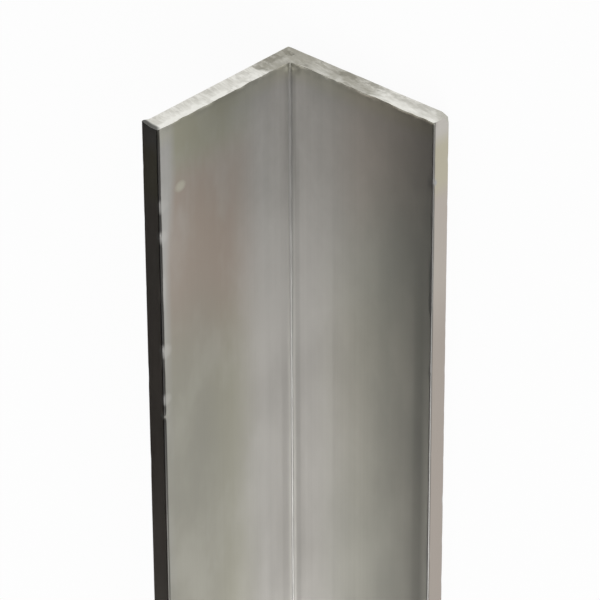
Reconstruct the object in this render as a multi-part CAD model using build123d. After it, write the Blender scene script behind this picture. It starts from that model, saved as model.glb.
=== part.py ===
"""Equal-leg metal angle: one length of extruded aluminium stock, sawn square at both ends.

It lies along X with one leg flat on the floor and the other standing at the back (+Y), so the nook
between the legs opens forwards (-Y) and upwards (+Z). The origin is on the floor, in the middle of
the flat leg's outer face.
"""

import os

from build123d import *

# Driving dimensions, in millimetres.
LEG_WIDTH = 31.75  # each leg, from the heel to its toe (1 1/4 in)
WALL = 3.35  # thickness of both legs (1/8 in nominal, on the heavy side of its tolerance)
LENGTH = 914.4  # between the sawn ends (36 in)
ROOT_RADIUS = 0.3  # fillet of the inner corner, where the inner faces of the legs meet
HEEL_RADIUS = 0.25  # broken edge of the outer corner (0.01 in)
TOE_RADIUS = 0.25  # broken edges of the toe of each leg (0.01 in)


def angle_profile():
    """The section across the bar, as the die shapes it, with Y to the right and Z upwards."""
    front, back = -LEG_WIDTH / 2, LEG_WIDTH / 2
    heel = (back, 0)
    flat_toe = [(front, 0), (front, WALL)]
    root = (back - WALL, WALL)
    upright_toe = [(back - WALL, LEG_WIDTH), (back, LEG_WIDTH)]
    with BuildSketch() as profile:
        with BuildLine():
            Polyline(heel, *flat_toe, root, *upright_toe, close=True)
        make_face()
        fillet(nearest_corners(profile, [root]), ROOT_RADIUS)
        fillet(nearest_corners(profile, [heel]), HEEL_RADIUS)
        fillet(nearest_corners(profile, flat_toe + upright_toe), TOE_RADIUS)
    return profile.sketch


def nearest_corners(profile, places):
    """The corner of the profile's outline that lies nearest to each of the places."""
    return [profile.vertices().sort_by_distance(place)[0] for place in places]


def angle_section():
    """The profile, extruded both ways from the middle of the bar to its two square saw cuts."""
    return extrude(Plane.YZ * angle_profile(), amount=LENGTH / 2, both=True)


os.makedirs("parts", exist_ok=True)
export_step(angle_section(), "parts/angle_section.step")
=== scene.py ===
# %% [markdown]
# # A length of metal angle
#
# Metal angle is raw stock: an L-shaped bar of aluminium, pushed through a die and sawn to length. It
# goes into frames, edgings and brackets, so it is straight and plain, and what there is to see is
# the metal itself: the lines that the die drew, the stains of handling and the rough cut of the saw.
#
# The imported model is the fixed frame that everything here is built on, so it is loaded first, and
# the sizes of the bar are read from it. The bar lies along X. One leg is flat on the floor, and the
# other stands up along its back, at +Y. Every length below is in metres.

from math import cos, pi, radians, sin

import bmesh
import bpy
from mathutils import Matrix, Vector


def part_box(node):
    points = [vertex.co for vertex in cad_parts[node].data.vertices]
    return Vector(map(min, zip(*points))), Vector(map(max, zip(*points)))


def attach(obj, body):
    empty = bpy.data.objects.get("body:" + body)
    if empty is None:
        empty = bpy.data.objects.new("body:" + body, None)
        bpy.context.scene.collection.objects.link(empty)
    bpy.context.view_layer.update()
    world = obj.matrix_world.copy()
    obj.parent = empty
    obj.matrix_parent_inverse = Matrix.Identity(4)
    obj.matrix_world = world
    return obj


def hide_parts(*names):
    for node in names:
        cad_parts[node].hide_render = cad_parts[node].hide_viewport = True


MM = 0.001

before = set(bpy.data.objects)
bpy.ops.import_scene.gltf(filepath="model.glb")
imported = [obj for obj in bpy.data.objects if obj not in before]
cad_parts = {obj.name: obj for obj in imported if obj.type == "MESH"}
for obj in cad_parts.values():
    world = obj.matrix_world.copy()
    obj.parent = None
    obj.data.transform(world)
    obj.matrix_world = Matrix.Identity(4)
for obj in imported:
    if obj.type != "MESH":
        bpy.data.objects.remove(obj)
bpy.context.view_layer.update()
low, high = (Vector(corner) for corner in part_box("angle_section"))
LENGTH = high.x - low.x
LEG = high.z - low.z
NEAR_END, FAR_END = high.x, low.x
HEEL_Y, FRONT_Y = high.y, low.y
print(f"bar {LENGTH / MM:.1f} mm long, legs {LEG / MM:.2f} mm wide")

# %% [markdown]
# ## The section
#
# The real bar gets its shape from the die, so the model starts in the same way, with the section. A
# small square stands for the heel, where the legs meet. Each leg is drawn out of one side of it, and
# the lines inside are dissolved. A cube with a corner cut away would come to the same shape, but a
# drawn section leaves clean edges to round. Parts of the mesh are picked by where they are, as they
# would be by hand in a side view.

# %% Select by place
TOUCH = 0.001 * MM


def near(a, b):
    """True where two distances are the same, give or take a thousandth of a millimetre."""
    return abs(a - b) < TOUCH


def only(kind, test):
    """In edit mode, selects just the vertices, edges or faces whose middle passes the test."""
    bpy.ops.mesh.select_mode(type=kind)
    bpy.ops.mesh.select_all(action="DESELECT")
    mesh = bmesh.from_edit_mesh(bpy.context.object.data)
    for part in {"VERT": mesh.verts, "EDGE": mesh.edges, "FACE": mesh.faces}[kind]:
        corners = [part] if kind == "VERT" else part.verts
        middle = sum((corner.co for corner in corners), Vector()) / len(corners)
        part.select_set(bool(test(middle)))
    mesh.select_flush_mode()
    bmesh.update_edit_mesh(bpy.context.object.data)


# %% Draw the section
WALL = 3.35 * MM
ROOT_Y, ROOT_Z = HEEL_Y - WALL, WALL

bpy.ops.object.select_all(action="DESELECT")
bpy.ops.mesh.primitive_plane_add(
    size=WALL, location=(NEAR_END, HEEL_Y - WALL / 2, WALL / 2), rotation=(0, radians(90), 0)
)
bar = bpy.context.object
bar.name = "metal_angle"
bpy.ops.object.transform_apply(location=True, rotation=True, scale=True)
bpy.ops.object.mode_set(mode="EDIT")

only("EDGE", lambda p: near(p.y, ROOT_Y))
bpy.ops.mesh.extrude_region_move(TRANSFORM_OT_translate={"value": (0, FRONT_Y - ROOT_Y, 0)})
only("EDGE", lambda p: near(p.z, ROOT_Z) and p.y > ROOT_Y)
bpy.ops.mesh.extrude_region_move(TRANSFORM_OT_translate={"value": (0, 0, LEG - ROOT_Z)})
only("EDGE", lambda p: (near(p.y, ROOT_Y) and p.z < ROOT_Z) or (near(p.z, ROOT_Z) and p.y > ROOT_Y))
bpy.ops.mesh.dissolve_edges(use_verts=False)
print("section of", len(bmesh.from_edit_mesh(bar.data).faces), "face")

# %% [markdown]
# A die can't hold a perfectly sharp edge, so each corner of the section is a small arc. A vertex
# bevel makes it, while the section is still flat. Rounding the long edges of the finished bar would
# come to the same, but with far more edges to select.

# %% Round its corners
ROOT_RADIUS = 0.3 * MM
EDGE_RADIUS = 0.25 * MM
ARC_STEPS = 5


def round_corners(test, radius):
    """Bevels the corners that pass the test into arcs."""
    only("VERT", test)
    bpy.ops.mesh.bevel(offset=radius, segments=ARC_STEPS, profile=0.5, affect="VERTICES")


round_corners(lambda p: near(p.y, ROOT_Y) and near(p.z, ROOT_Z), ROOT_RADIUS)
round_corners(lambda p: near(p.y, HEEL_Y) and near(p.z, 0), EDGE_RADIUS)
round_corners(lambda p: near(p.y, FRONT_Y) or near(p.z, LEG), EDGE_RADIUS)
print("rounded outline of", len(bmesh.from_edit_mesh(bar.data).verts), "points")

# %% [markdown]
# The saw cut will get its roughness as real relief, and relief needs points to move. A grid of
# straight bisects gives the section a fine net of small faces. They are cut while the shape is still
# a flat section, so that every line across the end later runs on down the bar.

# %% Cut a grid into the section
ROWS = 12
COLUMNS = 64


def cut(place, normal):
    """Cuts the whole mesh along a plane and keeps both sides."""
    bpy.ops.mesh.select_all(action="SELECT")
    bpy.ops.mesh.bisect(plane_co=place, plane_no=normal)


across_wall = [WALL * row / ROWS for row in range(1, ROWS)]
along_leg = [WALL + (LEG - WALL) * column / COLUMNS for column in range(COLUMNS)]
for step in across_wall + along_leg:
    cut((0, HEEL_Y - step, 0), (0, 1, 0))
    cut((0, 0, step), (0, 0, 1))
print("grid of", len(bmesh.from_edit_mesh(bar.data).faces), "faces")

# %% [markdown]
# Later the bar's skin is rolled out flat, like a label off a tin. For that, each point of the outline
# needs to know how far round it lies. This is the moment to measure it, while the outline is the
# section's only open edge.

# %% Measure round the outline
def key(p):
    """A point's place in the section, to a tenth of a thousandth of a millimetre."""
    return round(p.y / MM, 4), round(p.z / MM, 4)


def walk_round(mesh, start):
    """Follows the open edge from its point nearest to start, and gives how far each point lies."""
    rim = [edge for edge in mesh.edges if edge.is_boundary]
    here = min((point for edge in rim for point in edge.verts), key=lambda v: (v.co - start).length)
    distance = 0
    walked = {}
    while here:
        walked[here] = distance
        nexts = (edge.other_vert(here) for edge in here.link_edges if edge.is_boundary)
        ahead = next((point for point in nexts if point not in walked), None)
        if ahead:
            distance += (ahead.co - here.co).length
        here = ahead
    return {key(point.co): far for point, far in walked.items()}, distance


around, girth = walk_round(bmesh.from_edit_mesh(bar.data), Vector((NEAR_END, FRONT_Y, 0)))
print(f"{girth / MM:.1f} mm round, {len(around)} points")

# %% [markdown]
# ## From section to bar
#
# The press pushes the section out into a bar, and so does one extrude. It leaves faces as long as the
# bar, so rings are cut across them: close together by the near end, where the bar is knocked and
# worn, wider further down, and a few at the far end for its own saw cut.

# %% Draw the section out into a bar
LIP_ZONE, LIP_STEP = 1.5 * MM, 0.25 * MM
WORN_ZONE, WORN_STEP = 60 * MM, 0.5 * MM
SEEN_ZONE, SEEN_STEP = 105 * MM, 1.5 * MM
TAIL_ZONE, TAIL_STEP = 20 * MM, 2 * MM
PLAIN_STEP = 22 * MM


def divide(start, end, step):
    """Splits a stretch of the bar, given by two distances from its near end, into rings."""
    if end < LENGTH:
        cut((NEAR_END - end, 0, 0), (1, 0, 0))
    only("EDGE", lambda p: near(p.x, NEAR_END - (start + end) / 2))
    bpy.ops.mesh.subdivide(number_cuts=round((end - start) / step) - 1)


bpy.ops.mesh.select_all(action="SELECT")
bpy.ops.mesh.extrude_region_move(TRANSFORM_OT_translate={"value": (-LENGTH, 0, 0)})
bpy.ops.mesh.select_all(action="SELECT")
bpy.ops.mesh.normals_make_consistent(inside=False)

zones = [
    (LIP_ZONE, LIP_STEP),
    (WORN_ZONE, WORN_STEP),
    (SEEN_ZONE, SEEN_STEP),
    (LENGTH - TAIL_ZONE, PLAIN_STEP),
    (LENGTH - LIP_ZONE, TAIL_STEP),
    (LENGTH, LIP_STEP),
]
start = 0
for end, step in zones:
    divide(start, end, step)
    start = end
print("bar of", len(bmesh.from_edit_mesh(bar.data).faces), "faces")

# %% [markdown]
# ## Two finishes
#
# The skin of the bar is as it left the die, a soft grey that metal workers call a mill finish. The
# ends are bright where the saw tore through. That makes two materials on one mesh: the first goes on
# everywhere, and the second is assigned to the faces of the two cuts.

# %% Give out the two finishes
mill_finish = bpy.data.materials.new("mill_finish")
sawn_finish = bpy.data.materials.new("sawn_finish")
bar.data.materials.append(mill_finish)
bar.data.materials.append(sawn_finish)
SAWN = 1

only("FACE", lambda p: near(p.x, NEAR_END) or near(p.x, FAR_END))
bar.active_material_index = SAWN
bpy.ops.object.material_slot_assign()
bpy.ops.object.mode_set(mode="OBJECT")
print("sawn faces", sum(face.material_index == SAWN for face in bar.data.polygons))

# %% [markdown]
# ## The flat map
#
# The flat map lays the bar's skin onto one square sheet. An even unwrap of so long a bar would fill a
# seventh of the sheet, with no room for detail. So the skin is rolled out in two strips: the near end
# at a fine scale, and the rest of the bar squeezed along its length, where the pattern is only long
# lines. The two saw cuts have a fine patch each.

# %% Lay the skin out flat
SHEET = 1024
EDGE_GAP = 6 / SHEET
FINE = 5.6 / MM / SHEET
COARSE_ACROSS = 2.3 / MM / SHEET
END_SCALE = 10.5 / MM / SHEET

SKIN_TOP = 1 - EDGE_GAP
COARSE_LEFT = EDGE_GAP + girth * FINE + 2 * EDGE_GAP
COARSE_ALONG = (1 - 2 * EDGE_GAP) / (LENGTH - SEEN_ZONE)


def end_spot(p, nth):
    """Where a point of a saw cut lies on the sheet. The two cuts lie side by side at the bottom."""
    left = EDGE_GAP + nth * (LEG * END_SCALE + 2 * EDGE_GAP)
    return left + (p.y - FRONT_Y) * END_SCALE, EDGE_GAP + p.z * END_SCALE


def skin_spot(round_it, down_it, fine):
    """Where a point of the skin lies, from how far it is round the bar and down from the end."""
    if fine:
        return EDGE_GAP + round_it * FINE, SKIN_TOP - down_it * FINE
    return COARSE_LEFT + round_it * COARSE_ACROSS, SKIN_TOP - (down_it - SEEN_ZONE) * COARSE_ALONG


def lay_flat(mesh):
    """Gives every face corner its place on the sheet, in a map named OFBake."""
    flat = mesh.loops.layers.uv.new("OFBake")
    for face in mesh.faces:
        middle = face.calc_center_median()
        if face.material_index == SAWN:
            for loop in face.loops:
                loop[flat].uv = end_spot(loop.vert.co, 0 if middle.x > 0 else 1)
            continue
        rounds = [around[key(loop.vert.co)] for loop in face.loops]
        if max(rounds) - min(rounds) > girth / 2:
            rounds = [girth if far < girth / 2 else far for far in rounds]
        for loop, far in zip(face.loops, rounds):
            loop[flat].uv = skin_spot(far, NEAR_END - loop.vert.co.x, NEAR_END - middle.x < SEEN_ZONE)


skin = bmesh.new()
skin.from_mesh(bar.data)
lay_flat(skin)
skin.to_mesh(bar.data)
skin.free()
spots = [corner.uv for corner in bar.data.uv_layers["OFBake"].data]
print(f"map from {min(min(spot) for spot in spots):.3f} to {max(max(spot) for spot in spots):.3f}")

# %% [markdown]
# ## Relief
#
# A saw leaves a face of fine ridges, torn pits by the heel and a thin burr along the inner edge.
# Sculpting would do for one end, but it can't be repeated. A Displace modifier can: it pushes a
# weighted group of points by a cloud pattern. An empty carries the size and the slant of the
# pattern, and goes when the modifier has been applied.

# %% Weigh points and push them
CLOUD_DEPTH = 2
BLACK, WHITE = (0, 0, 0, 1), (1, 1, 1, 1)


def weigh(name, weight):
    """Makes a vertex group, with the weight of each point worked out from its place."""
    group = bar.vertex_groups.new(name=name)
    for vertex in bar.data.vertices:
        share = min(weight(vertex.co), 1)
        if share > 0:
            group.add([vertex.index], share, "REPLACE")
    return name


def relief(group, direction, height, grain, slant=0.0, level=0.0, rise=None):
    """Pushes a group of points by a cloud pattern and keeps the result.

    grain is the size of the clouds along X, Y and Z, and slant turns them about X. level is the
    cloud that stays put. rise gives the two clouds between which a sparse push sets in.
    """
    clouds = bpy.data.textures.new(group, "CLOUDS")
    clouds.noise_scale = 1
    clouds.noise_depth = CLOUD_DEPTH
    if rise:
        clouds.use_color_ramp = True
        foot, head = clouds.color_ramp.elements
        foot.position, foot.color = rise[0], BLACK
        head.position, head.color = rise[1], WHITE
    carrier = bpy.data.objects.new("carrier", None)
    carrier.scale = grain
    carrier.rotation_euler.x = slant
    bpy.context.scene.collection.objects.link(carrier)
    bpy.context.view_layer.update()
    push = bar.modifiers.new("push", "DISPLACE")
    push.vertex_group = group
    push.texture = clouds
    push.texture_coords = "OBJECT"
    push.texture_coords_object = carrier
    push.direction = direction
    push.mid_level = level
    push.strength = height
    bpy.context.view_layer.objects.active = bar
    bpy.ops.object.modifier_apply(modifier=push.name)
    bpy.data.objects.remove(carrier)
    bpy.data.textures.remove(clouds)


# %% [markdown]
# The weights follow the section. Ridges go all over a cut, tears into the middle of the wall and
# strongest by the heel, and the lip and the burr only along the inner edge. The lip stands out of
# the end. The burr is pushed into the nook, and each leg has its own, because they point different
# ways. Both cuts are weighed first, while they are still flat and easy to find.

# %% Saw cuts
BLADE_TILT = radians(-11)
SAW_MARKS, SAW_GRAIN, SAW_LEVEL = 0.08 * MM, (5 * MM, 6 * MM, 0.5 * MM), 0.55
TEAR, TEAR_GRAIN, TEAR_RISE = 0.35 * MM, (2 * MM, 1.8 * MM, 0.9 * MM), (0.45, 0.7)
TORN_AT_HEEL, TORN_FADES = 1.2, 1.6
LIP, LIP_GRAIN, LIP_RISE, LIP_START = 0.1 * MM, (2 * MM, 2.5 * MM, 2.5 * MM), (0.35, 0.7), 0.8
UPRIGHT_BURR, FLAT_BURR = 0.09 * MM, 0.16 * MM
BURR_GRAIN, BURR_RISE, BURR_START = (3 * MM, 3 * MM, 3 * MM), (0.35, 0.75), 0.85


def depth_in_wall(p):
    """How deep a point lies in the wall, as a share: 0 on the outer faces, 1 on the inner ones."""
    return min(p.z, HEEL_Y - p.y) / WALL


def from_heel(p):
    """How far along its leg a point lies, as a share: 0 at the heel, 1 at the toe."""
    return max(p.z, HEEL_Y - p.y) / LEG


def torn(p):
    """Most in the middle of the wall by the heel, and nothing at the faces or by the toes."""
    return sin(pi * min(depth_in_wall(p), 1)) * (TORN_AT_HEEL - TORN_FADES * from_heel(p))


def on_inner_edge(p, start):
    """0 up to a share of the wall's depth, then rising to 1 at the inner face."""
    return max(0, depth_in_wall(p) - start) / (1 - start)


CUT_WEIGHTS = {
    "ridges": lambda p: 1,
    "tear": torn,
    "lip": lambda p: on_inner_edge(p, LIP_START),
    "upright_burr": lambda p: p.z > ROOT_Z and on_inner_edge(p, BURR_START),
    "flat_burr": lambda p: p.y < ROOT_Y and on_inner_edge(p, BURR_START),
}


def weigh_cut(end, x):
    """Weighs the points of one cut in all these ways, and gives the names of the groups."""
    return [
        weigh(f"{end}_{name}", lambda p: near(p.x, x) and weight(p)) for name, weight in CUT_WEIGHTS.items()
    ]


for outwards, groups in [(1, weigh_cut("near", NEAR_END)), (-1, weigh_cut("far", FAR_END))]:
    ridges, tear, lip, upright_burr, flat_burr = groups
    relief(ridges, "X", outwards * SAW_MARKS, SAW_GRAIN, BLADE_TILT, SAW_LEVEL)
    relief(tear, "X", -outwards * TEAR, TEAR_GRAIN, BLADE_TILT, rise=TEAR_RISE)
    relief(lip, "X", outwards * LIP, LIP_GRAIN, rise=LIP_RISE)
    relief(upright_burr, "Y", -UPRIGHT_BURR, BURR_GRAIN, rise=BURR_RISE)
    relief(flat_burr, "Z", FLAT_BURR, BURR_GRAIN, rise=BURR_RISE)
along = [vertex.co.x for vertex in bar.data.vertices]
print(f"cuts reach {(max(along) - NEAR_END) / MM:.2f} and {(FAR_END - min(along)) / MM:.2f} mm outwards")

# %% [markdown]
# The long edges of the bar are dented where it was carried and stacked. The same relief does it, on
# a group of the points that lie close to an edge, and it pushes each point straight into the metal.

# %% Worn long edges
EDGE_BAND = 0.3 * MM
WEAR, WEAR_GRAIN, WEAR_RISE = 0.06 * MM, (4 * MM, 2 * MM, 2 * MM), (0.55, 0.8)
LONG_EDGES = [(HEEL_Y, 0), (FRONT_Y, 0), (FRONT_Y, ROOT_Z), (HEEL_Y, LEG), (ROOT_Y, LEG)]


def on_long_edge(p):
    """True close to one of the bar's five outer long edges."""
    return any(abs(p.y - y) < EDGE_BAND and abs(p.z - z) < EDGE_BAND for y, z in LONG_EDGES)


relief(weigh("long_edges", on_long_edge), "NORMAL", -WEAR, WEAR_GRAIN, rise=WEAR_RISE)
print("worn points", sum(on_long_edge(vertex.co) for vertex in bar.data.vertices))

# %% [markdown]
# ## Knocks
#
# Bars are stacked and dropped, and the thin toes and the corners of the cut take the blows. By hand,
# such a dent is one point grabbed and moved with proportional editing on, so that the metal round it
# follows. Here each knock is given by its place, its push and its reach: three on the standing leg's
# toe, one on the flat leg's, then the two outer corners of the near cut, and last the root, where
# the saw pushed metal out into the nook.

# %% Knock the edges and corners
GRAB = 0.35 * MM
KNOCKS = [
    ((NEAR_END - 18.3 * MM, ROOT_Y, LEG), (0, 0.05 * MM, -0.05 * MM), 0.9 * MM),
    ((NEAR_END - 37.8 * MM, ROOT_Y, LEG), (0, 0.06 * MM, -0.06 * MM), 1.1 * MM),
    ((NEAR_END - 49.5 * MM, ROOT_Y, LEG), (0, 0.12 * MM, -0.12 * MM), 0.8 * MM),
    ((NEAR_END - 10.4 * MM, FRONT_Y, ROOT_Z), (0, 0.07 * MM, -0.07 * MM), 0.9 * MM),
    ((NEAR_END, HEEL_Y, LEG), (0.35 * MM, 0, 0), 1.6 * MM),
    ((NEAR_END, FRONT_Y, 0), (-0.3 * MM, 0.06 * MM, 0.06 * MM), 1.2 * MM),
    ((NEAR_END, ROOT_Y, ROOT_Z), (-0.1 * MM, -0.22 * MM, 0.22 * MM), 1.5 * MM),
]

bpy.context.view_layer.objects.active = bar
bar.select_set(True)
bpy.ops.object.mode_set(mode="EDIT")
for place, push, reach in KNOCKS:
    only("VERT", lambda p: (p - Vector(place)).length < GRAB)
    bpy.ops.transform.translate(
        value=push, use_proportional_edit=True, proportional_edit_falloff="SMOOTH", proportional_size=reach
    )
bpy.ops.object.mode_set(mode="OBJECT")
print(len(KNOCKS), "knocks")

# %% [markdown]
# The arcs and the relief are to look smooth, and the edges of the cuts crisp, so faces are shaded
# smooth only where they meet at a small angle.

# %% Smooth the faces and take the bar into the frame
SHARP = radians(30)

bpy.ops.object.shade_smooth_by_angle(angle=SHARP)
bar.vertex_groups.clear()
bar.data.calc_loop_triangles()
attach(bar, "root")
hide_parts("angle_section")
print("bar of", len(bar.data.polygons), "faces and", len(bar.data.loop_triangles), "triangles")

# %% [markdown]
# ## Tools for finishes
#
# A finish is a tree of nodes. Wiring one up by hand is slow to read back, so two small classes let it
# be written as sums. A wire is one output of a node, and adding or multiplying wires adds Math nodes.

# %% Wires
class Wire:
    """One output of a node. Sums on wires add Math nodes."""

    def __init__(self, recipe, socket):
        self.recipe = recipe
        self.socket = socket

    def out(self, name):
        """Another output of the same node."""
        return Wire(self.recipe, self.socket.node.outputs[name])

    def maths(self, operation, first, second=0.0):
        return self.recipe.node("ShaderNodeMath", {"operation": operation}, {0: first, 1: second})

    def __add__(self, other):
        return self.maths("ADD", self, other)

    def __sub__(self, other):
        return self.maths("SUBTRACT", self, other)

    def __rsub__(self, other):
        return self.maths("SUBTRACT", other, self)

    def __mul__(self, other):
        return self.maths("MULTIPLY", self, other)

    def __abs__(self):
        return self.maths("ABSOLUTE", self)

    def least(self, other):
        return self.maths("MINIMUM", self, other)

    def most(self, other):
        return self.maths("MAXIMUM", self, other)

    __radd__ = __add__
    __rmul__ = __mul__


# %% [markdown]
# A recipe is the tree of one material. One method makes every kind of node, from its settings and
# from what goes into its sockets, so each node takes a line or two wherever it is needed.

# %% Recipes
class Recipe:
    """The nodes of a material, and its main shader."""

    def __init__(self, material):
        material.use_nodes = True
        self.tree = material.node_tree
        self.shader = self.tree.nodes["Principled BSDF"]

    def node(self, kind, settings, sockets, output=0):
        """Adds a node, sets it up, fills or links its sockets, and gives one of its outputs."""
        made = self.tree.nodes.new(kind)
        for name, value in settings.items():
            setattr(made, name, value)
        for name, value in sockets.items():
            self.feed(made.inputs[name], value)
        return Wire(self, made.outputs[output])

    def feed(self, socket, value):
        """Links a wire into a socket, or sets the socket to a plain value."""
        if isinstance(value, Wire):
            self.tree.links.new(value.socket, socket)
        else:
            socket.default_value = value

    def set(self, name, value):
        """Gives a socket of the shader its wire or value."""
        self.feed(self.shader.inputs[name], value)

    def tell(self, step):
        print(f"{step}: {len(self.tree.nodes)} nodes so far")


# %% [markdown]
# Both finishes of the bar are made of the same few patterns: noise, soft fades, lines and mixed
# colours. They read Object coordinates in metres, so a pattern keeps its real size and stays on the
# metal. An image wrapped round so long a bar would be huge, or would blur the fine lines.

# %% Patterns for a metal surface
SHARE, FIRST_COLOUR, SECOND_COLOUR, MIXED_COLOUR = 0, 6, 7, 2  # sockets of a Mix node, for colours


class Finish(Recipe):
    """The recipe of a surface, with patterns laid on the metal by their real size."""

    def __init__(self, material):
        super().__init__(material)
        self.place = self.node("ShaderNodeTexCoord", {}, {}, "Object")
        self.x = self.node("ShaderNodeSeparateXYZ", {}, {0: self.place})
        self.y = self.x.out("Y")
        self.z = self.x.out("Z")

    def noise(self, grain, detail=2.0, roughness=0.5, slant=0.0):
        """Noise from 0 to 1, with grains of a size along X, Y and Z, slanted about X."""
        turned = self.node("ShaderNodeMapping", {}, {"Vector": self.place, "Rotation": (-slant, 0, 0)})
        scaled = self.node("ShaderNodeVectorMath", {"operation": "DIVIDE"}, {0: turned, 1: grain})
        sockets = {"Vector": scaled, "Scale": 1.0, "Detail": detail, "Roughness": roughness}
        return self.node("ShaderNodeTexNoise", {}, sockets)

    def fade(self, value, start, end, low=0.0, high=1.0):
        """Goes smoothly from low to high as the value goes from start to end."""
        return self.node(
            "ShaderNodeMapRange",
            {"interpolation_type": "SMOOTHSTEP"},
            {"Value": value, "From Min": start, "From Max": end, "To Min": low, "To Max": high},
        )

    def line(self, value, middle, width, high=1.0):
        """A soft line: high where the value is at the middle, and 0 half a width away."""
        return self.fade(abs(value - middle), width / 2, width / 6, 0, high)

    def blend(self, share, first, second, way="MIX"):
        """Mixes two colours by a share."""
        settings = {"data_type": "RGBA", "blend_type": way}
        sockets = {SHARE: share, FIRST_COLOUR: first, SECOND_COLOUR: second}
        return self.node("ShaderNodeMix", settings, sockets, MIXED_COLOUR)

    def bump(self, height, distance):
        return self.node("ShaderNodeBump", {}, {"Height": height, "Distance": distance})


def swing(noise, amount):
    """Noise brought to swing about nothing, by half the amount each way."""
    return (noise - 0.5) * amount


# %% [markdown]
# ## The mill finish
#
# Every mark on the skin has its place: so far from the near cut, so high up the standing leg or so
# far out along the flat one. Marks could be painted by hand, but placed by measure they are exact and
# easy to move. So the distances are worked out first, as wires, and each leg's inner face gets a mask
# of its own, which is 1 on that face and fades away from it.
#
# A fade is given below by two distances, between which it goes from 0 to 1. It falls where the first
# is the larger. Where it goes between two other values, those follow.

# %% Where a point of the skin lies
FACE_SKIN = 2 * MM

mill = Finish(mill_finish)
from_near = NEAR_END - mill.x
from_root = ROOT_Y - mill.y
off_upright, off_flat = abs(from_root), abs(mill.z - ROOT_Z)
from_corner = off_upright + off_flat
below_toe, from_toe = LEG - mill.z, mill.y - FRONT_Y
on_upright = mill.line(from_root, 0, FACE_SKIN)
on_flat = mill.line(mill.z, ROOT_Z, FACE_SKIN)
mill.tell("distances")

# %% [markdown]
# Extruded aluminium is a soft grey, neither mirror nor matt. The die draws hair-fine lines down the
# whole bar, and broader pale and dull bands with them. Over those lies a faint mottle of oxide, and
# smudges where hands took hold by the end. Each is a noise with its own grain, very long along X for
# what the die drew, and together they dull a clean metal colour. Close to the end the bar is handled
# more and so a little cleaner, most of all about four centimetres down.

# %% Lines and mottle
METAL = (0.52, 0.51, 0.492, 1)
DULL = (0.427, 0.417, 0.40, 1)
FINE_LINES = (400 * MM, 0.45 * MM, 0.45 * MM)
BROAD_LINES = (600 * MM, 2.5 * MM, 2.5 * MM)
MOTTLE = (16 * MM, 7 * MM, 7 * MM)
SMUDGE = (2.5 * MM, 1.8 * MM, 1.8 * MM)
MEAN_DULLING, LINE_DULLING, MOTTLE_DULLING = 0.42, 0.5, 1.0
SMUDGED = (50 * MM, 8 * MM, 0.15, 0.9)
DULLER = (40 * MM, 75 * MM, -0.12, 0.14)
CLEANER = (36.5 * MM, 36 * MM, 0.25)

fine_lines = mill.noise(FINE_LINES, detail=3, roughness=0.6)
broad_lines = mill.noise(BROAD_LINES, detail=1)
mottle = mill.noise(MOTTLE, detail=3, roughness=0.55)
smudge = mill.noise(SMUDGE, detail=3, roughness=0.6)
dulling = MEAN_DULLING + swing(fine_lines, LINE_DULLING) + swing(broad_lines, LINE_DULLING)
dulling = dulling + swing(mottle, MOTTLE_DULLING) + swing(smudge, mill.fade(from_near, *SMUDGED))
dulling = dulling + mill.fade(from_near, *DULLER) - mill.line(from_near, *CLEANER)
colour = mill.blend(dulling, METAL, DULL)
mill.tell("bare metal")

# %% [markdown]
# A stain of oil lies up the standing leg by the near end: olive by the cut, then brown, then olive
# again. Its mask is a product of fades, one for each side that it stops or thins at. It stops short
# of the toe, and by the cut a little shorter still. A second mask, for all that hands left on the
# bar, thins it with the mottle and ends it well before the middle.

# %% Stain
STAIN_OLIVE = (0.384, 0.372, 0.288, 1)
STAIN_BROWN = (0.408, 0.341, 0.291, 1)
MARKED, MARKED_MOTTLE = (260 * MM, 130 * MM), (0.3, 0.6, 0.65)
STAIN_CLIMBS, STAIN_STOPS = (8.5 * MM, 19 * MM), (0.4 * MM, 2.4 * MM)
BARE_TOE = (25 * MM, 8 * MM, 0, 1.5 * MM)
STAIN_THINS = (75 * MM, 20 * MM, 0.7)
BROWN_FROM, BROWN_UNTIL = (5 * MM, 12 * MM), (50 * MM, 28 * MM)
STAIN_SHARE = 0.95

marked = mill.fade(from_near, *MARKED) * mill.fade(mottle, *MARKED_MOTTLE)
stain = mill.fade(mill.z, *STAIN_CLIMBS) * mill.fade(from_near, *STAIN_THINS)
stain = stain * mill.fade(below_toe - mill.fade(from_near, *BARE_TOE), *STAIN_STOPS)
browned = mill.fade(from_near, *BROWN_FROM) * mill.fade(from_near, *BROWN_UNTIL)
stain_colour = mill.blend(browned, STAIN_OLIVE, STAIN_BROWN)
colour = mill.blend(stain * on_upright * marked * STAIN_SHARE, colour, stain_colour)
mill.tell("stain")

# %% [markdown]
# The standing leg is dull towards its toe, where the bar is gripped, with olive grime that grows
# further down. The flat leg is darker towards its toe, with a grey that thins further down: partly
# grip marks and partly painted shade, standing in for the dark card's reflection. A paler band runs
# through that grey, and over the middle of the flat leg lies a thin cool film.

# %% Grip marks and painted shade
HANDLED = (0.318, 0.311, 0.272, 1)
GRIPPED_AND_SHADE = (0.337, 0.341, 0.333, 1)
FILM = (0.431, 0.467, 0.472, 1)
UPRIGHT_GRIP, UPRIGHT_GRIP_GROWS = (13 * MM, 25 * MM), (18 * MM, 58 * MM, 0.1, 0.95)
FLAT_GRIP_AND_SHADE, FLAT_GRIP_AND_SHADE_THINS = (9 * MM, 28 * MM), (50 * MM, 80 * MM, 0.85, 0.4)
PALE_BAND, PALE_BAND_FROM = (22.8 * MM, 7 * MM), (22 * MM, 34 * MM, 0, 0.45)
FILM_BAND = (15 * MM, 24 * MM)
FILM_NEAR, FILM_FAR = (45 * MM, 20 * MM, 0, 0.36), (55 * MM, 80 * MM, 0, 0.16)

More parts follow.
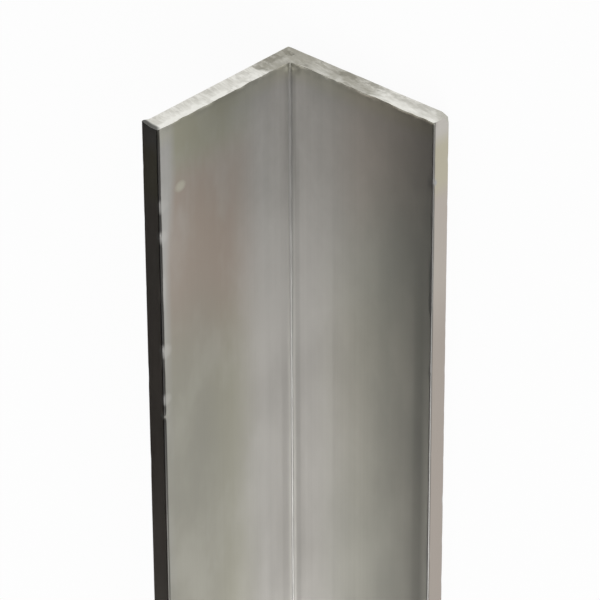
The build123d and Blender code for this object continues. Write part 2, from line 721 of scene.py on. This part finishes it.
upright_grip = mill.fade(mill.z, *UPRIGHT_GRIP) * mill.fade(from_near, *UPRIGHT_GRIP_GROWS)
colour = mill.blend(upright_grip * on_upright * marked, colour, HANDLED)
film = mill.line(from_root, *FILM_BAND)
film = film * (mill.fade(from_near, *FILM_NEAR) + mill.fade(from_near, *FILM_FAR))
colour = mill.blend(film * on_flat, colour, FILM)
pale_band = mill.line(from_root, *PALE_BAND) * mill.fade(from_near, *PALE_BAND_FROM)
# Painted shade on the flat leg towards its toe, mixed with grip marks.
flat_grip_and_shade = mill.fade(from_root, *FLAT_GRIP_AND_SHADE) * mill.fade(from_near, *FLAT_GRIP_AND_SHADE_THINS)
colour = mill.blend(flat_grip_and_shade * (1 - pale_band) * on_flat * marked, colour, GRIPPED_AND_SHADE)
mill.tell("grip marks")

# %% [markdown]
# Further down, the flat leg has two more marks beside its toe: a faint dark band, and outside it a
# brighter strip that was rubbed in sliding over other bars.

# %% Band and rub beside the flat leg's toe
GRIME_AND_SHADE = (0.17, 0.165, 0.155, 1)
RUBBED_AND_HIGHLIGHT = (0.60, 0.59, 0.565, 1)
TOE_BAND, TOE_BAND_FROM = (2.4 * MM, 2.8 * MM), (22 * MM, 42 * MM, 0, 0.16)
TOE_RUB, TOE_RUB_GROWS = (2.1 * MM, 0.4 * MM), (10 * MM, 75 * MM, 0, 0.9)

toe_band = mill.line(from_toe, *TOE_BAND) * mill.fade(from_near, *TOE_BAND_FROM)
toe_rub = mill.fade(from_toe, *TOE_RUB) * mill.fade(from_near, *TOE_RUB_GROWS)
colour = mill.blend(toe_band * on_flat, colour, GRIME_AND_SHADE)
colour = mill.blend(toe_rub * on_flat, colour, RUBBED_AND_HIGHLIGHT)
mill.tell("band and rub")

# %% [markdown]
# The toes are the thin long edges of the two legs. They carry a warm tarnish that starts a few
# millimetres from the cut, yellow at first and browner further down. Where a toe meets the inner
# face, its arris is painted dark, nearly black on the standing leg and dark grey on the flat one: a
# painted shade that takes out its glint, as the dark card's reflection darkens the toe.

# %% Toe edges
TOE_CLEAN = (0.53, 0.505, 0.468, 1)
TARNISH = [
    ((1.5 * MM, 5 * MM), (0.482, 0.451, 0.353, 1)),
    ((10 * MM, 14 * MM), (0.468, 0.425, 0.38, 1)),
    ((25 * MM, 40 * MM), (0.405, 0.36, 0.32, 1)),
]
TOE_SKIN = (0.05 * MM, 0.01 * MM)
BLACK_ARRIS_SHADE = (0.06, 0.058, 0.055, 1)
UPRIGHT_ARRIS, UPRIGHT_ARRIS_THINS = (0.45 * MM, 0.28 * MM), (50 * MM, 75 * MM, 1, 0.7)
FLAT_ARRIS, FLAT_ARRIS_THINS = (0.35 * MM, 0.24 * MM), (15 * MM, 75 * MM, 0.8, 0.65)

toe_colour = TOE_CLEAN
for span, tarnish in TARNISH:
    toe_colour = mill.blend(mill.fade(from_near, *span), toe_colour, tarnish)
on_toes = mill.fade(from_toe, *TOE_SKIN) + mill.fade(below_toe, *TOE_SKIN)
colour = mill.blend(on_toes, colour, toe_colour)

upright_arris_shade = mill.fade(off_upright + below_toe, *UPRIGHT_ARRIS)
flat_arris_shade = mill.fade(from_toe + off_flat, *FLAT_ARRIS)
# Painted shade on both arrises, nearly black on the standing leg and dark grey on the flat one, so they
# show no glint.
colour = mill.blend(upright_arris_shade * mill.fade(from_near, *UPRIGHT_ARRIS_THINS), colour, BLACK_ARRIS_SHADE)
colour = mill.blend(flat_arris_shade * mill.fade(from_near, *FLAT_ARRIS_THINS), colour, GRIME_AND_SHADE)
mill.tell("toe edges")

# %% [markdown]
# Dirt settles where a cloth can't reach, in the root between the legs. It is ragged, wider where the
# root swells by the cut, and lies more on the flat leg's side. Beside it lies a thin painted highlight
# in a pale metal colour: above the root from the cut on, and below it only further down.

# %% Dirt and painted highlight in the root
ROOT_SWELL = 0.35 * MM
SWOLLEN = (1.9 * MM, 0.7 * MM)
ROOT_DIRT, ROOT_DIRT_THINS = (0.32 * MM, 0.24 * MM), (40 * MM, 8 * MM, 0.4, 0.5)
RAGGED, RAGGED_DIRT = (5 * MM, 0.5 * MM, 0.5 * MM), (0.4, 0.6, 0, 0.15)
CLEAN_SIDE = (0.22 * MM, 0.08 * MM, 0.3)
ROOT_SHINE, SHINE_SHARE = (0.2 * MM, 1.6 * MM), 0.5
SHINE_GROWS, SHINE_ABOVE = (12 * MM, 40 * MM), (0, 0.2 * MM)

swell = mill.fade(from_near, *SWOLLEN, 0, ROOT_SWELL)
in_root = mill.fade(off_flat - swell, *ROOT_DIRT) * mill.fade(off_upright - swell, *ROOT_DIRT)
root_dirt = mill.fade(from_near, *ROOT_DIRT_THINS) + mill.fade(mill.noise(RAGGED), *RAGGED_DIRT)
above_root = mill.z - ROOT_Z - from_root
root_dirt = in_root * root_dirt * mill.fade(above_root, *CLEAN_SIDE)
# A painted highlight along the root, above it from the cut on and below it further down.
painted_root_shine = mill.fade(from_near, *SHINE_GROWS).most(mill.fade(above_root, *SHINE_ABOVE))
painted_root_shine = painted_root_shine * mill.line(from_corner, *ROOT_SHINE) * SHINE_SHARE
colour = mill.blend(painted_root_shine, colour, RUBBED_AND_HIGHLIGHT)
colour = mill.blend(root_dirt, colour, GRIME_AND_SHADE)
mill.tell("root")

# %% [markdown]
# The die had a chip, which drew one dull line down the flat leg beside the root. By the cut a line
# of dirt, closer to the root, takes its place.

# %% The die's own line
DIE_LINE, DIE_LINE_SHOWS = (1.25 * MM, 1.4 * MM), (4 * MM, 20 * MM, 0, 0.18)
DIRT_LINE, DIRT_LINE_FADES = (0.6 * MM, 1.6 * MM), (30 * MM, 8 * MM, 0, 0.28)

die_line = mill.line(from_root, *DIE_LINE) * mill.fade(from_near, *DIE_LINE_SHOWS)
dirt_line = mill.line(from_root, *DIRT_LINE) * mill.fade(from_near, *DIRT_LINE_FADES)
colour = mill.blend((die_line + dirt_line) * on_flat, colour, GRIME_AND_SHADE)
mill.tell("die line")

# %% [markdown]
# Under the saw's burr lies a thin painted shadow, with dirt held in its lee. A wider, fainter
# darkening lies behind the cut on the inner half of each leg. One blot sits beside the root, and the
# bulge in the root is a little grey.

# %% Painted shadow and dirt under the cut
BURR_SHADOW_AND_DIRT, BURR_SHADOW_SMUDGE = (1.5 * MM, 0.3 * MM, 0, 0.2), (0.35, 0.6, 0.3)
END_SHADE, SHADE_FROM, SHADE_UNTIL = (8 * MM, 1 * MM, 0, 0.17), (2 * MM, 5 * MM), (21 * MM, 13 * MM)
BLOT_OUT, BLOT_DOWN, BLOT_SIZE, BLOT_SHARE = 1.25 * MM, 0.8 * MM, 2.6 * MM, 0.45
ROOT_BURR = (2.4 * MM, 0.8 * MM, 0, 0.15)


def spot(across, down, size, share):
    """A soft round spot, where across is 0, and so far down from the near end."""
    along = from_near - down
    return mill.fade(across * across + along * along, (size / 2) ** 2, 0, 0, share)


# A painted shadow of the burr, with its dirt, just behind the cut on both inner faces.
burr_shadow_and_dirt = mill.fade(from_near, *BURR_SHADOW_AND_DIRT) * (on_flat + on_upright)
burr_shadow_and_dirt = burr_shadow_and_dirt * mill.fade(smudge, *BURR_SHADOW_SMUDGE)
end_shade = mill.fade(from_near, *END_SHADE)
end_shade = end_shade * mill.fade(from_corner, *SHADE_FROM) * mill.fade(from_corner, *SHADE_UNTIL)
blot = spot(from_root - BLOT_OUT, BLOT_DOWN, BLOT_SIZE, BLOT_SHARE) * on_flat
colour = mill.blend(burr_shadow_and_dirt + end_shade + blot, colour, GRIME_AND_SHADE)
root_burr = mill.fade(from_near, *SWOLLEN) * mill.fade(from_corner, *ROOT_BURR)
colour = mill.blend(root_burr, colour, GRIME_AND_SHADE)
mill.tell("dirt under the cut")

# %% [markdown]
# Along the standing leg's toe, a few pale spots show where knocks have rubbed the stain away, and
# one pale fleck, a little taller than it is long, sits in the stain itself. Each is a spot, as the
# blot was.

# %% Rubbed spots and a fleck
RUBS = [(13 * MM, 3.0 * MM), (18.2 * MM, 2.8 * MM), (38 * MM, 3.2 * MM), (46.5 * MM, 2.6 * MM)]
RUB_BELOW_TOE, RUB_SHARE = 0.5 * MM, 0.35
FLECK_COLOUR = (0.6, 0.6, 0.5, 1)
FLECK_UP, FLECK_DOWN, FLECK_SIZE, FLECK_SHARE = 27.3 * MM, 11.15 * MM, 2.2 * MM, 0.62
FLECK_TALLER = 1.25

rubs = sum(spot(below_toe - RUB_BELOW_TOE, down, size, RUB_SHARE) for down, size in RUBS)
colour = mill.blend(rubs * on_upright, colour, RUBBED_AND_HIGHLIGHT)
fleck_across = (mill.z - FLECK_UP) * (1 / FLECK_TALLER)
fleck = spot(fleck_across, FLECK_DOWN, FLECK_SIZE, FLECK_SHARE)
colour = mill.blend(fleck * on_upright, colour, FLECK_COLOUR)
print(len(RUBS), "rubbed spots and a fleck")

# %% [markdown]
# Oil from the saw has left a trace of olive on the bare metal by the cut. Last, the metal itself: all
# of it is metallic, and the lines of the die make it a little rougher here and smoother there, with a
# bump of a hundredth of a millimetre. The root is caked with dirt near the end, and rougher still.

# %% Put the mill finish on
OLIVE_TINT = (1, 1, 0.92, 1)
BY_CUT = (4 * MM, 1 * MM)
MILL_ROUGHNESS, LINE_ROUGHNESS, MOTTLE_ROUGHNESS = 0.35, 0.1, 0.12
CAKED, CAKED_NEAR = (0.7 * MM, 0.4 * MM, 0, 0.3), (60 * MM, 20 * MM)
LINE_BUMP = 0.012 * MM

oily = mill.fade(from_near, *BY_CUT) * (1 - stain) * (1 - on_toes)
mill.set("Base Color", mill.blend(oily, colour, OLIVE_TINT, "MULTIPLY"))
mill.set("Metallic", 1.0)
roughness = MILL_ROUGHNESS + swing(fine_lines, LINE_ROUGHNESS) + swing(mottle, MOTTLE_ROUGHNESS)
caked = mill.fade(from_corner, *CAKED) * mill.fade(from_near, *CAKED_NEAR)
mill.set("Roughness", roughness + caked)
mill.set("Normal", mill.bump(fine_lines, LINE_BUMP))
mill.tell("mill finish")

# %% [markdown]
# ## The sawn finish
#
# Fresh saw cuts are the brightest part of the bar. The blade came in over the toes, where it left
# clean silver metal, and it tore and smeared the metal by the heel. All its marks slant by the tilt
# of the blade, so they run along the flat leg and across the standing one. The noises here have no
# grain along X, because a cut is a single flat face. All of them are summed into one brightness,
# which picks a colour between torn metal and bright.

# %% Marks of the saw
FLAT_GRAIN = 1000 * MM
TOOTH_MARKS = (FLAT_GRAIN, 8 * MM, 0.45 * MM)
SCRATCHES = (FLAT_GRAIN, 5 * MM, 0.14 * MM)
SMEAR = (FLAT_GRAIN, 4 * MM, 0.8 * MM)
BLOTCH = (FLAT_GRAIN, 1.5 * MM, 1.1 * MM)
WIDE_BLOTCH = (FLAT_GRAIN, 3.2 * MM, 1.6 * MM)

sawn = Finish(sawn_finish)
depth = sawn.z.least(HEEL_Y - sawn.y)
up_leg = sawn.z - ROOT_Z
out_leg = ROOT_Y - sawn.y
tooth_marks = sawn.noise(TOOTH_MARKS, detail=2, roughness=0.6, slant=BLADE_TILT)
scratches = sawn.noise(SCRATCHES, detail=1, slant=BLADE_TILT)
smear = sawn.noise(SMEAR, detail=3, roughness=0.6, slant=BLADE_TILT)
blotch = sawn.noise(BLOTCH)
wide_blotch = sawn.noise(WIDE_BLOTCH, detail=3, roughness=0.6)
sawn.tell("marks of the saw")

# %% [markdown]
# The standing leg is clean from a few millimetres above its root, and the flat one only on its outer
# half. Between them the blade wiped the inner edge of the wall bright. It left one pale patch on the
# flat leg beside the root, and another half-way out, in the outer part of the wall.

# %% Sawn metal
BRIGHT = (0.955, 0.945, 0.89, 1)
TORN = (0.425, 0.41, 0.35, 1)
RAGGEDNESS = 6 * MM
CLEAN_UPRIGHT, CLEAN_FLAT = (2.4 * MM, 6.5 * MM), (14 * MM, 19 * MM, 0, 0.86)
WIPED, WIPED_BLOTCH = (WALL - 1.3 * MM, WALL - 0.6 * MM, 0, 0.38), (0.38, 0.55)
WIPED_FROM, WIPED_THINS = (3 * MM, 8 * MM), (14 * MM, 10 * MM, 0.25)
PALE_FROM, PALE_TO = (0.5 * MM, 3 * MM), (9 * MM, 5 * MM, 0, 0.22)
OUTER_PALE, OUTER_PALE_PLACE = (2.4 * MM, 0.8 * MM, 0, 0.35), (14.5 * MM, 9 * MM)
TORN_LIGHT, CLEAN_LIGHT = 0.06, 0.74
SMEAR_LIGHT, BLOTCH_LIGHT, TOOTH_LIGHT, SCRATCH_LIGHT = 0.9, 1.1, 0.15, 0.2

ragged_edge = swing(blotch, RAGGEDNESS)
clean_upright = sawn.fade(up_leg + ragged_edge, *CLEAN_UPRIGHT)
clean = clean_upright + sawn.fade(out_leg + ragged_edge, *CLEAN_FLAT)
wiped = sawn.fade(depth, *WIPED) * sawn.fade(blotch, *WIPED_BLOTCH)
wiped = wiped * sawn.fade(up_leg + out_leg, *WIPED_FROM) * sawn.fade(out_leg, *WIPED_THINS)
pale = sawn.fade(out_leg, *PALE_FROM) * sawn.fade(out_leg, *PALE_TO)
outer_pale = sawn.fade(depth, *OUTER_PALE) * sawn.line(out_leg, *OUTER_PALE_PLACE)
brightness = TORN_LIGHT + clean * CLEAN_LIGHT + wiped + pale + outer_pale
brightness = brightness + swing(smear, SMEAR_LIGHT) + swing(wide_blotch, BLOTCH_LIGHT)
brightness = brightness + swing(tooth_marks, TOOTH_LIGHT) + swing(scratches, SCRATCH_LIGHT)
colour = sawn.blend(brightness, TORN, BRIGHT)
sawn.tell("sawn metal")

# %% [markdown]
# Along the outer edge the blade left dark streaks, with pits among them by the heel. The two outer
# corners of the near cut are knocked: the standing leg's is folded over, and the cut there is painted
# nearly black, a painted dark reflection like the one the dark card puts on the standing leg's toe;
# the flat leg's is worn grey.

# %% Streaks, pits and knocked corners
PIT = (0.265, 0.25, 0.2, 1)
FOLDED_PAINTED_SHADE = (0.05, 0.05, 0.045, 1)
OUTER_HALF, OUTER_RAGGEDNESS = (2.3 * MM, 1.1 * MM), 1.5 * MM
STREAKED, STREAKS_THIN = (0.56, 0.46, 0, 0.55), (16 * MM, 10 * MM, 0.3)
STREAKS_CLEANED, PITS_CLEANED = 0.75, 0.6
PITTED = (0.5, 0.6, 0, 0.7)
FOLDED, FOLDED_TOP = (4.2 * MM, 3 * MM, 0, 0.9), (1.2 * MM, 0.6 * MM)
WORN_CORNER = (3.2 * MM, 1.2 * MM, 0, 0.45)
NEAR_HALF = (0, 1 * MM)

outer = sawn.fade(depth + swing(blotch, OUTER_RAGGEDNESS), *OUTER_HALF)
streaks = sawn.fade(smear, *STREAKED) * outer * sawn.fade(out_leg, *STREAKS_THIN)
colour = sawn.blend(streaks * (1 - clean_upright * STREAKS_CLEANED), colour, TORN)
pits = sawn.fade(wide_blotch, *PITTED) * outer * (1 - clean * PITS_CLEANED)
colour = sawn.blend(pits, colour, PIT)

at_near = sawn.fade(sawn.x, *NEAR_HALF)
under_top = LEG - sawn.z
# Painted dark reflection on the folded corner of the standing leg's cut.
folded_corner_shade = sawn.fade(under_top + (HEEL_Y - sawn.y), *FOLDED) * sawn.fade(under_top, *FOLDED_TOP)
colour = sawn.blend(folded_corner_shade * at_near, colour, FOLDED_PAINTED_SHADE)
worn_corner = sawn.fade(sawn.z + (sawn.y - FRONT_Y), *WORN_CORNER)
colour = sawn.blend(worn_corner * at_near, colour, TORN)
sawn.tell("streaks, pits and corners")

# %% [markdown]
# Sawn metal is rougher than drawn metal, and where it is smeared it shines differently. The marks of
# the teeth and the scratches are too fine for the points of the mesh, so they go on as a bump.

# %% Put the sawn finish on
SAWN_ROUGHNESS, SMEAR_ROUGHNESS = 0.45, 0.2
TOOTH_BUMP, SCRATCH_HEIGHT = 0.02 * MM, 0.4

sawn.set("Base Color", colour)
sawn.set("Metallic", 1.0)
sawn.set("Roughness", SAWN_ROUGHNESS + swing(smear, SMEAR_ROUGHNESS))
sawn.set("Normal", sawn.bump(tooth_marks + scratches * SCRATCH_HEIGHT, TOOTH_BUMP))
sawn.tell("sawn finish")

# %% [markdown]
# ## The camera
#
# A long bar seen from the side is a thin stripe. So the camera looks into the nook from in front and
# above, close to the line of the bar: the near cut is at the top, and the bar runs down out of the
# frame. Its place is worked out from the nook: straight out of it, swung a little to one side, raised
# towards the end of the bar, and turned by a hair. A long lens keeps the two legs nearly parallel.

# %% Set up the camera
SENSOR = 36.0
FOCAL = 261.4
SWING = radians(-2.624)
RAISE = radians(31.402)
ROLL = radians(-0.279)
DISTANCE = 20.559 * LEG
HEEL_LEFT = 0.0545 * LEG
HEEL_UP = 1.1972 * LEG
VIEW_LIMIT = 100


def stood(place, right, up, back):
    """The matrix that puts a thing at a place, with its own X, Y and Z along three directions."""
    return Matrix.Translation(place) @ Matrix((right, up, back)).transposed().to_4x4()


near_heel = Vector((NEAR_END, HEEL_Y, 0))
out_of_nook = Vector((0, -1, 1)).normalized()
across_nook = Vector((0, -1, -1)).normalized()
along_bar = Vector((1, 0, 0))
swung = cos(SWING) * out_of_nook + sin(SWING) * across_nook
back = cos(RAISE) * swung + sin(RAISE) * along_bar
level_right = along_bar.cross(back).normalized()
right = cos(ROLL) * level_right + sin(ROLL) * back.cross(level_right)
up = back.cross(right)
aim = near_heel + HEEL_LEFT * right - HEEL_UP * up

camera_data = bpy.data.cameras.new("camera")
camera_data.sensor_width = SENSOR
camera_data.lens = FOCAL
camera_data.clip_end = VIEW_LIMIT
camera = bpy.data.objects.new("camera", camera_data)
bpy.context.scene.collection.objects.link(camera)
camera.matrix_world = stood(aim + DISTANCE * back, right, up, back)
bpy.context.scene.camera = camera
print("camera at", tuple(round(value, 3) for value in camera.matrix_world.translation))

# %% [markdown]
# ## Floor and light
#
# The bar lies on a plain white floor. For the camera and in reflections the floor glows almost white
# by itself, and the rest of it is pale paint that still takes the bar's shadow.

# %% Floor
FLOOR_SIZE = 40
PALE_PAINT = (0.9, 0.9, 0.9, 1)
FLOOR_GLOW = 0.94

bpy.ops.object.select_all(action="DESELECT")
bpy.ops.mesh.primitive_plane_add(size=FLOOR_SIZE)
floor = bpy.context.object
floor.name = "floor"
floor_paint = bpy.data.materials.new("floor_paint")
floor.data.materials.append(floor_paint)

paint = Recipe(floor_paint)
rays = paint.node("ShaderNodeLightPath", {}, {}, "Is Camera Ray")
seen = rays.most(rays.out("Is Glossy Ray")).most(rays.out("Is Transmission Ray"))
matt = paint.node("ShaderNodeBsdfDiffuse", {}, {"Color": PALE_PAINT})
glow = paint.node("ShaderNodeEmission", {}, {"Color": WHITE, "Strength": 1.0})
surface = paint.node("ShaderNodeMixShader", {}, {0: seen * FLOOR_GLOW, 1: matt, 2: glow})
paint.feed(paint.tree.nodes["Material Output"].inputs["Surface"], surface)
paint.tell("floor paint")

# %% [markdown]
# Bare metal shows what is round it. A white sky lights everything evenly. One long soft light stands
# in front of the nook, and the inner faces pass its light from one to the other.

# %% Sky and light
SKY = 0.7
IN_FRONT = Vector((0, -0.66, 0.75)).normalized()
LIGHT_AWAY, LIGHT_MIDDLE, LIGHT_LENGTH, LIGHT_WIDTH = 0.45, -0.65, 1.5, 0.35
LIGHT_RADIANCE = 3.45


def facing(place, normal):
    """The place and turn of something whose front faces along normal, with its length along X."""
    side = normal.cross(along_bar).normalized()
    return stood(place, side.cross(normal), side, normal)


world = bpy.data.worlds.new("sky")
world.use_nodes = True
world.node_tree.nodes["Background"].inputs["Color"].default_value = WHITE
world.node_tree.nodes["Background"].inputs["Strength"].default_value = SKY
bpy.context.scene.world = world

light_data = bpy.data.lights.new("front_light", "AREA")
light_data.shape = "RECTANGLE"
light_data.size = LIGHT_LENGTH
light_data.size_y = LIGHT_WIDTH
light_data.energy = LIGHT_RADIANCE * pi * LIGHT_LENGTH * LIGHT_WIDTH
light = bpy.data.objects.new("front_light", light_data)
light.matrix_world = facing(IN_FRONT * LIGHT_AWAY + along_bar * LIGHT_MIDDLE, IN_FRONT)
bpy.context.scene.collection.objects.link(light)
print(f"light of {light_data.energy:.1f} W")

# %% [markdown]
# Behind the bar leans a dark card, seen only in reflections, as one is used in a studio. It turns the
# standing leg's toe nearly black and shades the flat leg towards its own toe.

# %% Dark card
BEHIND = Vector((0, 0.66, 0.75)).normalized()
CARD_AWAY, CARD_MIDDLE, CARD_LENGTH, CARD_WIDTH = 0.3, 0.68, 1.2, 0.66
CARD_GREY = (0.03, 0.03, 0.03, 1)

bpy.ops.object.select_all(action="DESELECT")
bpy.ops.mesh.primitive_plane_add(size=1)
card = bpy.context.object
card.name = "dark_card"
card_stands = facing(BEHIND * CARD_AWAY + along_bar * CARD_MIDDLE, -BEHIND)
card.matrix_world = card_stands @ Matrix.Diagonal((CARD_LENGTH, CARD_WIDTH, 1, 1))
card.visible_camera = False
card.visible_diffuse = False
card.visible_shadow = False

card_felt = bpy.data.materials.new("card_felt")
card.data.materials.append(card_felt)
felt = Recipe(card_felt)
felt.set("Base Color", CARD_GREY)
felt.set("Roughness", 1.0)
felt.set("Specular IOR Level", 0.0)
print(f"card of {CARD_LENGTH} by {CARD_WIDTH} m")

# %% [markdown]
# ## The look of the render
#
# The render is shown as it is, with no film look.

# %% Finish
bpy.context.scene.view_settings.view_transform = "Standard"
